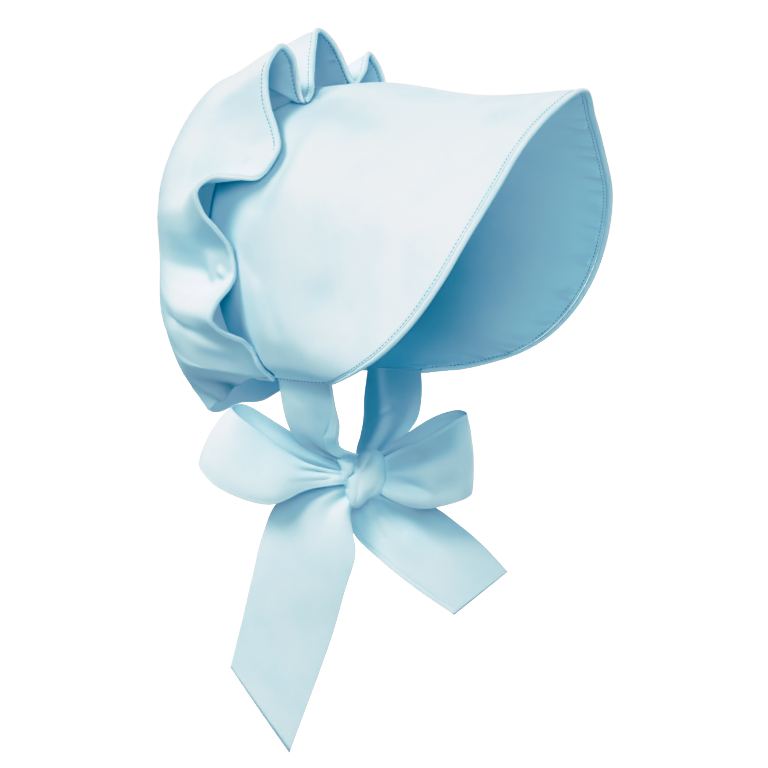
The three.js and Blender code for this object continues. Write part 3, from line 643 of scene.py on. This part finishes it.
# How many columns to each side smooth the folds out of the ruffle and round the back of the crown
SWING_REACH = 28
ROUND_REACH = 64
HEM_ROLL = 4.4
HEM_ROUND = 0.6
HEM_STITCH_AT = 6.0
HEM_GROOVE_WIDTH = 0.6
HEM_PUCKER_WAVES = ((13, 0.35, 0), (9.3, 0.3, 0.4), (21, 0.4, 0.8))
HEM_PUCKER_AT = 9
HEM_PUCKER_REACH = 5
# Where the crown comes down on the brim it rests on it, up to this far back
REST_BACK = 90
REST_GAP = 0.5
REST_LEAST = 2.4
LIFT_SPREAD = 14

ruffle_edge = even_points(
    [*RUFFLE_SIDE, *RUFFLE_TOP, *mirrored(RUFFLE_SIDE[:RUFFLE_MIRRORED])[::-1]], RUFFLE_COUNT)
nape_edge = even_points([*mirrored(NAPE_EDGE), *NAPE_EDGE[-2::-1]], NAPE_COUNT)
full_line = np.concatenate([
    even_points([*CROWN_FULL_SIDE, *mirrored(CROWN_FULL_SIDE[-2::-1])], RUFFLE_COUNT),
    even_points([*mirrored(CROWN_FULL_NAPE), *CROWN_FULL_NAPE[-2::-1]], NAPE_COUNT),
])
free_edge = np.concatenate([ruffle_edge, nape_edge])
swing_line = np.concatenate([mean_line(ruffle_edge, SWING_REACH), nape_edge])
rounded_line = mean_line(full_line, ROUND_REACH, closed=True)
crown_back = np.array(CROWN_BACK, float)
brim_rest = BVHTree.FromPolygons(
    [Vector(p) for p in brim_middle.reshape(-1, 3)],
    [(i * brim_middle.shape[1] + j, (i + 1) * brim_middle.shape[1] + j,
      (i + 1) * brim_middle.shape[1] + j + 1, i * brim_middle.shape[1] + j + 1)
     for i in range(BRIM_AROUND) for j in range(brim_middle.shape[1] - 1)])


def lift_off_brim(point, height):
    """How far a point has to rise to rest on the brim at that height, and which way."""
    spot, _, face, distance = brim_rest.find_nearest(Vector(point))
    row, column = divmod(face, brim_middle.shape[1] - 1)
    normal = brim_normals[row, column]
    above = float(np.dot(point - np.array(spot), normal))
    beside = math.sqrt(max(distance ** 2 - above ** 2, 0))
    if beside < height and above < height:
        return height - above, normal
    return 0, normal


def crown_column(i):
    """One section of the crown, from its free edge to the middle of its back, and distances along it."""
    angles = np.array(CROWN_BACK_STATIONS) * math.pi / 2
    rim = rounded_line[i] + (full_line[i] - rounded_line[i]) * np.array(CROWN_BACK_STATIONS)[:, None]
    bend = np.column_stack([
        crown_back[0] + (rim[:, 0] - crown_back[0]) * np.sin(angles),
        rim[:, 1] + (crown_back[1] - rim[:, 1]) * np.cos(angles),
        crown_back[2] + (rim[:, 2] - crown_back[2]) * np.sin(angles),
    ])
    section = Line([swing_line[i], full_line[i], *bend, crown_back])
    run = np.concatenate([HEM_STATIONS, np.linspace(HEM_STATIONS[-1], section.length, CROWN_INNER)[1:]])
    points = section.at(run / section.length)
    flute = free_edge[i] - swing_line[i]
    points = points + flute * (1 - smoothstep(run, FLUTE_FULL, FLUTE_NONE))[:, None]
    gather = 0
    if i >= RUFFLE_COUNT:
        gather = math.sin(2 * math.pi * NAPE_GATHERS * (i - RUFFLE_COUNT) / NAPE_COUNT)
    outwards = full_line[i] - crown_back
    outwards = unit(outwards * np.array([1, 0, 1]))
    fade = 1 - smoothstep(run, 0, NAPE_GATHER_REACH)
    return points + outwards * (gather * NAPE_GATHER_DEPTH * fade)[:, None], run


crown_columns = [crown_column(i) for i in range(CROWN_COUNT)]
crown_middle = np.array([points for points, _ in crown_columns])
crown_run = np.array([run for _, run in crown_columns])
is_ruffle = np.zeros((CROWN_COUNT, 1))
is_ruffle[:RUFFLE_COUNT] = 1
roll = HEM_ROLL * np.sqrt(np.maximum(1 - ((crown_run - HEM_WIDTH / 2) / (HEM_WIDTH / 2)) ** 2, 0))
hem_thick = np.maximum(CROWN_WALL * rounded(crown_run, HEM_ROUND), roll * is_ruffle)
rest_heights = np.maximum(BRIM_WALL / 2 + hem_thick / 2 + REST_GAP, REST_LEAST)
lift = np.zeros(crown_run.shape)
lift_way = np.zeros(crown_middle.shape)
for i, j in zip(*np.nonzero(crown_middle[..., 1] < REST_BACK)):
    lift[i, j], lift_way[i, j] = lift_off_brim(crown_middle[i, j], rest_heights[i, j])
for _ in range(LIFT_SPREAD):
    beside = (np.roll(lift, 1, axis=0) + np.roll(lift, -1, axis=0)) / 2
    margin = np.pad(lift, ((0, 0), (1, 1)), mode="edge")
    along = (margin[:, 2:] + margin[:, :-2]) / 2
    lift = np.maximum(lift, (beside + along) / 2)
crown_middle = crown_middle + lift_way * lift[..., None]

# The last column repeats the first, so that the bag closes
crown_middle, crown_run, hem_thick, is_ruffle = (
    np.concatenate([rows, rows[:1]]) for rows in (crown_middle, crown_run, hem_thick, is_ruffle))
crown_normals = sheet_normals(crown_middle, around=True)
if crown_normals[RUFFLE_COUNT // 2, CROWN_TOP_STATION, 2] < 0:
    crown_normals = -crown_normals
crown_middle = creased(crown_middle, -crown_normals, CROWN_CREASES)
free_run = np.concatenate([[0], np.cumsum(np.linalg.norm(np.diff(crown_middle[:, 0], axis=0), axis=1))])
hem_full = rounded(crown_run, HEM_ROUND) * is_ruffle
hem_pucker = ripple(free_run, *HEM_PUCKER_WAVES)[:, None] * hem_full
hem_pucker = hem_pucker * np.exp(-((crown_run - HEM_PUCKER_AT) / HEM_PUCKER_REACH) ** 2)
hem_pucker[-1] = hem_pucker[0]
hem_groove = GROOVE_DEPTH * hem_full * np.exp(-((crown_run - HEM_STITCH_AT) / HEM_GROOVE_WIDTH) ** 2)
crown_half = hem_thick / 2 - hem_groove
crown_outer = crown_middle + crown_normals * crown_half[..., None]
crown_inner = crown_middle - crown_normals * (crown_half + hem_pucker)[..., None]
crown = cloth_wall("crown_and_ruffle", crown_outer, crown_inner, crown_middle,
                   [crown_cloth, crown_inside_painted_glow_cloth])


# Ribbons


RIBBON_EDGE_STATIONS = (0, 0.25, 0.7, 1.4, 2.2, 3, 3.5, 4, 4.5, 5.2)
RIBBON_ACROSS = 30
RIBBON_ROUND = 0.7
# A line of stitching near one edge thins the ribbon
RIBBON_SEAM = 4.0
SEAM_WIDTH = 0.45
SEAM_SHARE = 0.6


def ribbon_surface(sections, steps):
    """The middle surface of a ribbon, in rows of points along it."""
    first = Line([s[0] for s in sections])
    second = Line([s[1] for s in sections])
    marks = np.linspace(0, len(sections) - 1, steps + 1)
    numbers = np.arange(len(sections))
    near, far = first.point(marks), second.point(marks)
    before, after = marks - TANGENT_STEP, marks + TANGENT_STEP
    along = unit(first.point(after) - first.point(before)) + unit(second.point(after) - second.point(before))
    normal = unit(np.cross(far - near, along))
    heights = [Line(np.column_stack([numbers, [s[k] for s in sections], np.zeros(len(sections))]))
               .point(marks)[:, 1] for k in (2, 3, 4, 5)]
    width = np.linalg.norm(far - near, axis=1).max()
    edge = np.array(RIBBON_EDGE_STATIONS) / width
    inside = np.linspace(edge[-1], 1 - edge[-1], RIBBON_ACROSS + 2)[1:-1]
    across = np.concatenate([edge, inside, 1 - edge[::-1]])
    rows = []
    for k in range(len(marks)):
        profile = Line([(0, 0, 0), (0.25, heights[0][k], 0), (0.5, heights[1][k], 0),
                        (0.75, heights[2][k], 0), (1, 0, 0)])
        drawn = profile.point(profile.marks)
        rise = np.interp(across, drawn[:, 0], drawn[:, 1]) + heights[3][k] * np.sin(4 * np.pi * across)
        rows.append(near[k] + (far[k] - near[k]) * across[:, None] + normal[k] * rise[:, None])
    return np.array(rows)


FOLD_RADIUS = 1.2
FOLD_TURN = np.linspace(0, math.pi, 11)[1:]
FOLD_STATIONS = (0.12, 0.3, 0.5, 0.7, 0.84, 0.93, 0.97, 1)
FOLD_BASE = len(RIBBON_EDGE_STATIONS) - 1


def folded_over(middle, widths):
    """Lays the far edge of a ribbon back over its front, by a width at each row."""
    far = middle[:, -1]
    back = unit(middle[:, -FOLD_BASE] - far)
    front = np.array(toward)
    front = unit(front - (back @ front)[:, None] * back)
    turned = [far + FOLD_RADIUS * ((1 - math.cos(a)) * front - math.sin(a) * back) for a in FOLD_TURN]
    laid = [turned[-1] + widths[:, None] * share * back for share in FOLD_STATIONS]
    return np.concatenate([middle, np.stack(turned + laid, axis=1)], axis=1)


def ribbon_piece(name, sections, creases, matrix=None, *, steps, seamed=False, fold=None):
    """A ribbon of cloth through its sections, perhaps with a seam or with one edge folded over."""
    middle = ribbon_surface(sections, steps)
    if fold is not None:
        marks = np.linspace(0, len(fold) - 1, steps + 1)
        middle = folded_over(middle, np.interp(marks, np.arange(len(fold)), fold))
    if matrix is not None:
        middle = middle @ np.array(matrix.to_3x3()).T + np.array(matrix.translation)
    middle = creased(middle, -np.array(toward), creases)
    normals = sheet_normals(middle)
    run = np.concatenate([[0], np.cumsum(np.linalg.norm(np.diff(middle, axis=0), axis=2).mean(axis=1))])
    width = np.linalg.norm(np.diff(middle, axis=1), axis=2)
    across = np.concatenate([np.zeros((len(middle), 1)), np.cumsum(width, axis=1)], axis=1)
    to_edge = np.minimum(across, across[:, -1:] - across)
    to_end = np.minimum(run, run[-1] - run)[:, None]
    thick = RIBBON_WALL * rounded(to_edge, RIBBON_ROUND) * rounded(to_end, RIBBON_ROUND)
    if seamed:
        thick = thick * (1 - SEAM_SHARE * np.exp(-((across - RIBBON_SEAM) / SEAM_WIDTH) ** 2))
    half = (thick / 2)[..., None]
    return cloth_wall(name, middle + normals * half, middle - normals * half, middle, [ribbon_cloth])


bow_matrix = Matrix.Translation(BOW_PLACE) @ Matrix.Rotation(BOW_TURN, 4, "Z")
tie_right = ribbon_piece("tie_right_ribbon", TIE_RIGHT, TIE_RIGHT_CREASES, steps=70, fold=TIE_RIGHT_FOLD)
tie_left = ribbon_piece("tie_left_ribbon", TIE_LEFT, TIE_LEFT_CREASES, steps=70)
loop_right = ribbon_piece("bow_loop_right_ribbon", LOOP_RIGHT, LOOP_RIGHT_CREASES, bow_matrix, steps=150)
loop_left = ribbon_piece("bow_loop_left_ribbon", LOOP_LEFT, LOOP_LEFT_CREASES, bow_matrix, steps=140,
                         seamed=True)
tail_right = ribbon_piece("tail_right_ribbon", TAIL_RIGHT, TAIL_RIGHT_CREASES, bow_matrix, steps=120)
tail_left = ribbon_piece("tail_left_ribbon", TAIL_LEFT, TAIL_LEFT_CREASES, bow_matrix, steps=90,
                         seamed=True)


# Knot
KNOT_AROUND = 120
KNOT_THROUGH = 48
KNOT_SQUARENESS = 0.62
KNOT_FRONT_FADE = 4


def knot_piece():
    """A cushion through the knot's outline, with its creases pressed into the front."""
    outline = Line([(x, 0, z) for x, z in KNOT_OUTLINE], closed=True)
    ring = outline.at(np.linspace(0, 1, KNOT_AROUND + 1))
    rows = []
    for angle in np.linspace(-math.pi / 2, math.pi / 2, KNOT_THROUGH + 1):
        width = max(math.cos(angle), 0) ** KNOT_SQUARENESS
        points = ring * width
        points[:, 1] = KNOT_DEPTH * math.sin(angle)
        rows.append(points)
    wrap = np.array(rows)
    front = smoothstep(-wrap[..., 1], 0, KNOT_FRONT_FADE)
    flat = wrap * np.array([1, 0, 1])
    lines = [([(x, 0, z) for x, z in line], width, depth) for line, width, depth in KNOT_CREASES]
    pressed = creased(flat, np.array([0.0, 1, 0]), lines)[..., 1]
    wrap[..., 1] += pressed * front
    wrap = wrap @ np.array(bow_matrix.to_3x3()).T + np.array(bow_matrix.translation)
    return tube_wall("bow_knot_wrap", wrap.transpose(1, 0, 2), [ribbon_cloth])


knot = knot_piece()


# Stitches: short rounded lengths of thread, lying in the grooves
STITCH_PITCH = 3.2
STITCH_LENGTH = 2.3
STITCH_RADIUS = 0.3


def stitch_row(name, lines):
    """One piece of thread for rows of stitches. Each row is its points and the way out of the cloth."""
    one = bmesh.new()
    bmesh.ops.create_uvsphere(one, u_segments=6, v_segments=4, radius=1)
    for face in one.faces:
        face.smooth = True
    stitch = bpy.data.meshes.new("stitch")
    one.to_mesh(stitch)
    one.free()
    bm = bmesh.new()
    for points, outwards in lines:
        run = np.concatenate([[0], np.cumsum(np.linalg.norm(np.diff(points, axis=0), axis=1))])
        for at in np.arange(STITCH_PITCH, run[-1] - STITCH_PITCH, STITCH_PITCH):
            place = np.array([np.interp(at, run, points[:, k]) for k in range(3)])
            ahead = np.array([np.interp(at + 1, run, points[:, k]) for k in range(3)]) - place
            out = np.array([np.interp(at, run, outwards[:, k]) for k in range(3)])
            run_way = Vector(ahead).normalized()
            side_way = Vector(out).cross(run_way).normalized()
            up_way = run_way.cross(side_way)
            shape = Matrix((run_way * STITCH_LENGTH / 2, side_way * STITCH_RADIUS, up_way * STITCH_RADIUS))
            laid = stitch.copy()
            laid.transform(Matrix.Translation(Vector(place) * MM) @ (shape.transposed() * MM).to_4x4())
            bm.from_mesh(laid)
            bpy.data.meshes.remove(laid)
    bpy.data.meshes.remove(stitch)
    return finish_mesh(name, bm, [sewing_thread])


def at_distance(rows, runs, at):
    """The point of each row at one distance along it."""
    return np.array([[np.interp(at, run, row[:, k]) for k in range(3)] for run, row in zip(runs, rows)])


def sewn_line(face, normals, runs, at):
    """The line on a face of cloth at one distance from its edge, with the way out of the cloth."""
    return at_distance(face, runs, at), at_distance(normals, runs, at)


# The brim is sewn along its front edge, outside and inside, and outside along both short lower edges
front_order = brim_to_front[:, ::-1]
side_order = np.broadcast_to(edge_run, brim_run.T.shape)
side_outer = brim_outer.transpose(1, 0, 2)
side_normals = brim_normals.transpose(1, 0, 2)
brim_stitches = stitch_row("brim_edge_stitches", [
    sewn_line(brim_outer[:, ::-1], brim_normals[:, ::-1], front_order, STITCH_AT),
    sewn_line(brim_inner[:, ::-1], -brim_normals[:, ::-1], front_order, STITCH_AT),
    sewn_line(side_outer, side_normals, side_order, STITCH_AT),
    sewn_line(side_outer[:, ::-1], side_normals[:, ::-1], edge_run[-1] - side_order[:, ::-1], STITCH_AT),
])
RUFFLE_ENDS = 3
ruffle_part = slice(RUFFLE_ENDS, RUFFLE_COUNT - RUFFLE_ENDS)
ruffle_stitches = stitch_row("ruffle_hem_stitches", [
    sewn_line(crown_outer[ruffle_part], crown_normals[ruffle_part], crown_run[ruffle_part], HEM_STITCH_AT),
    sewn_line(crown_inner[ruffle_part], -crown_normals[ruffle_part], crown_run[ruffle_part], HEM_STITCH_AT),
])
for stitches, slot_name in ((brim_stitches, "panel"), (ruffle_stitches, "crown")):
    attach(stitches, "root")

# Which CAD solids the pieces stand for
for piece, node, slot_name in (
    (brim, "brim", "panel"), (binding, "brim_binding", "binding"), (crown, "crown", "crown"),
    (tie_right, "tie_right", "ribbon"), (tie_left, "tie_left", "ribbon"), (knot, "bow_knot", "ribbon"),
    (loop_right, "bow_loop_right", "ribbon"), (loop_left, "bow_loop_left", "ribbon"),
    (tail_right, "tail_right", "ribbon"), (tail_left, "tail_left", "ribbon"),
):
    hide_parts(node)
    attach(piece, "root")

# Floor, far below the hanging bonnet, and the studio round it
FLOOR_HEIGHT = -0.95
FLOOR_RADIUS = 60
FLOOR_SIDES = 96
FLOOR_WHITE = 0.9
FLOOR_GLOW = 0.7
FLOOR_ROUGHNESS = 0.9
floor_mesh = bpy.data.meshes.new("floor")
bm = bmesh.new()
bmesh.ops.create_circle(bm, cap_ends=True, segments=FLOOR_SIDES, radius=FLOOR_RADIUS)
bmesh.ops.translate(bm, verts=bm.verts, vec=(0, 0, FLOOR_HEIGHT))
bm.to_mesh(floor_mesh)
bm.free()
floor = bpy.data.objects.new("floor", floor_mesh)
floor_material = bpy.data.materials.new("floor_pale")
floor_material.use_nodes = True
floor_shader = floor_material.node_tree.nodes["Principled BSDF"]
floor_shader.inputs["Base Color"].default_value = (FLOOR_WHITE, FLOOR_WHITE, FLOOR_WHITE, 1)
floor_shader.inputs["Emission Color"].default_value = (1, 1, 1, 1)
floor_shader.inputs["Emission Strength"].default_value = FLOOR_GLOW
floor_shader.inputs["Roughness"].default_value = FLOOR_ROUGHNESS
floor_shader.inputs["Specular IOR Level"].default_value = 0
floor_mesh.materials.append(floor_material)
bpy.context.scene.collection.objects.link(floor)
floor.visible_diffuse = False
floor.visible_glossy = False
floor.visible_shadow = False

# White behind the bonnet; what lights it is a dimmer room, brighter above than below
ROOM_ABOVE = 0.06
ROOM_BELOW = 0.04
ROOM_BAND = (-0.6, 0.8)
BACKDROP_WHITE = 1.3
world = bpy.data.worlds.new("studio")
world.use_nodes = True
tree = world.node_tree
room = tree.nodes["Background"]
room.inputs["Color"].default_value = (1, 1, 1, 1)
direction = tree.nodes.new("ShaderNodeTexCoord")
split = tree.nodes.new("ShaderNodeSeparateXYZ")
height = tree.nodes.new("ShaderNodeMapRange")
height.inputs["From Min"].default_value = ROOM_BAND[0]
height.inputs["From Max"].default_value = ROOM_BAND[1]
height.inputs["To Min"].default_value = ROOM_BELOW
height.inputs["To Max"].default_value = ROOM_ABOVE
tree.links.new(direction.outputs["Generated"], split.inputs["Vector"])
tree.links.new(split.outputs["Z"], height.inputs["Value"])
tree.links.new(height.outputs["Result"], room.inputs["Strength"])
backdrop = tree.nodes.new("ShaderNodeBackground")
backdrop.inputs["Color"].default_value = (1, 1, 1, 1)
backdrop.inputs["Strength"].default_value = BACKDROP_WHITE
seen = tree.nodes.new("ShaderNodeLightPath")
choice = tree.nodes.new("ShaderNodeMixShader")
tree.links.new(seen.outputs["Is Camera Ray"], choice.inputs[0])
tree.links.new(room.outputs["Background"], choice.inputs[1])
tree.links.new(backdrop.outputs["Background"], choice.inputs[2])
tree.links.new(choice.outputs["Shader"], tree.nodes["World Output"].inputs["Surface"])
bpy.context.scene.world = world

# Film: deep blue shadows, and lit cloth that pales softly towards white
FILM_RED = (
    (0, 0), (0.1, 0.014), (0.14, 0.06), (0.22, 0.16), (0.29, 0.205), (0.33, 0.265), (0.385, 0.355),
    (0.43, 0.435), (0.47, 0.515), (0.5, 0.58), (0.56, 0.69), (0.6, 0.77), (0.635, 0.83), (0.7, 0.89),
    (1.25, 1),
)
FILM_GREEN = (
    (0, 0), (0.1, 0.075), (0.2, 0.175), (0.3, 0.285), (0.4, 0.395), (0.85, 0.845), (0.95, 0.885),
    (1.25, 1),
)
FILM_BLUE = (
    (0, 0), (0.1, 0.09), (0.2, 0.22), (0.36, 0.41), (0.49, 0.52), (0.56, 0.585), (0.655, 0.65),
    (0.79, 0.76), (0.86, 0.81), (0.95, 0.86), (1.05, 0.895), (1.25, 1),
)
view = bpy.context.scene.view_settings
view.view_transform = "Standard"
view.use_curve_mapping = True
film = view.curve_mapping
film.use_clip = False
for curve, points in zip(film.curves, (FILM_RED, FILM_GREEN, FILM_BLUE)):
    curve.points[1].location = points[-1]
    for point in points[1:-1]:
        curve.points.new(*point)
film.update()


def window_light(name, offset, spread, strength):
    """A large soft light, so far away that it falls evenly on the bonnet and the floor."""
    data = bpy.data.lights.new(name, "SUN")
    data.angle = math.radians(spread)
    data.energy = strength
    light = bpy.data.objects.new(name, data)
    toward_light = rightward * offset[0] + upward * offset[1] + toward * offset[2]
    light.matrix_world = toward_light.to_track_quat("Z", "Y").to_matrix().to_4x4()
    bpy.context.scene.collection.objects.link(light)


# Each light's way from the bonnet, to the right, up and towards the camera, its spread in degrees and
# its strength, where 1 lights a white wall that faces it fully
for name, offset, spread, strength in (
    ("key_light", (-0.75, 0.9, 0.72), 24, 0.70),
    ("rim_light", (-0.9, 0.5, -0.3), 38, 0.36),
    ("front_fill", (0, 0.3, 1), 38, 0.41),
    ("right_fill", (1, 0.2, 0.4), 38, 0.33),
    ("low_fill", (-0.1, -1, 0.3), 38, 0.42),
    ("back_fill", (0.8, 0.5, -1), 50, 0.72),
):
    window_light(name, offset, spread, strength * math.pi)
